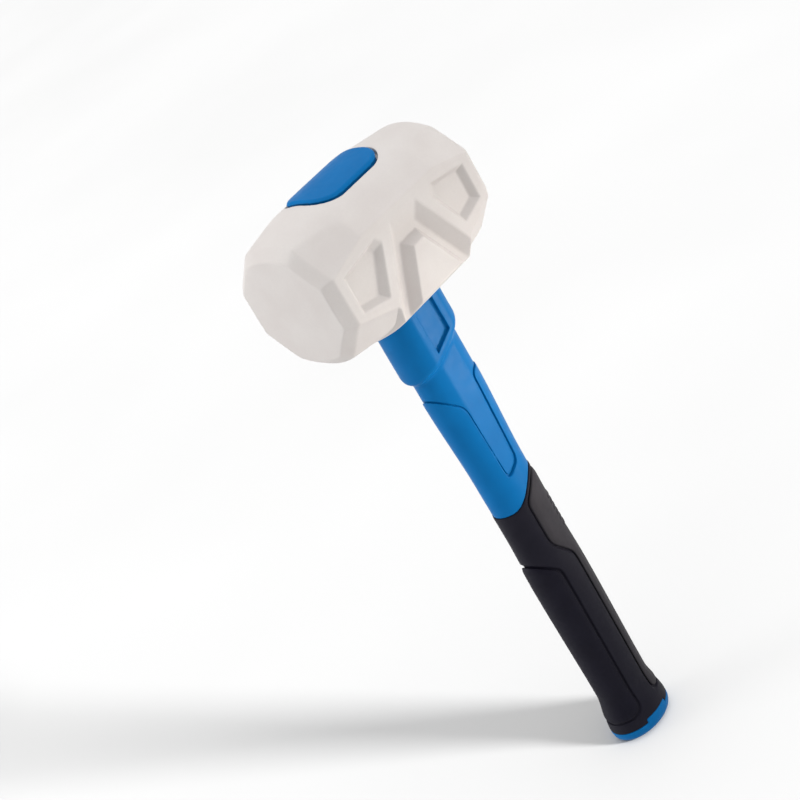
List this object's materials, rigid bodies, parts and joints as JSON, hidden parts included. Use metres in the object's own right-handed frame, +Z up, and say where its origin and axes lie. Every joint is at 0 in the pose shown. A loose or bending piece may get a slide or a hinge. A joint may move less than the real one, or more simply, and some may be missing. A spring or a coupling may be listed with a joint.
{
  "type": "soft face hammer",
  "caption": "Rubber mallet: a barrel-shaped white rubber head with bevelled striking faces on a moulded handle with a cushioned two-panel grip.",
  "frame": {"origin": "middle of the flat underside of the butt, where the handle's axis meets it", "axes": "+Z up the handle towards the head, X along the striking axis with the finger side of the grip at -X, Y across the flat sides"},
  "size_m": [0.113, 0.069, 0.3419],
  "materials": {
    "head_rubber": "smooth white moulded rubber, matt",
    "handle_plastic": "blue moulded plastic, satin",
    "rod_fibre": "glass-fibre rod, matt",
    "grip_rubber": "black soft plastic, fine matt texture",
    "panel_rubber": "darker black soft plastic, fine matt texture"
  },
  "bodies": {
    "root": {"head": "head_rubber", "eye_cap": "handle_plastic", "handle_body": "handle_plastic", "core_rod": "rod_fibre", "grip_sleeve": "grip_rubber", "finger_pad": "panel_rubber", "palm_pad": "panel_rubber", "butt_cap": "handle_plastic"}
  },
  "joints": []
}
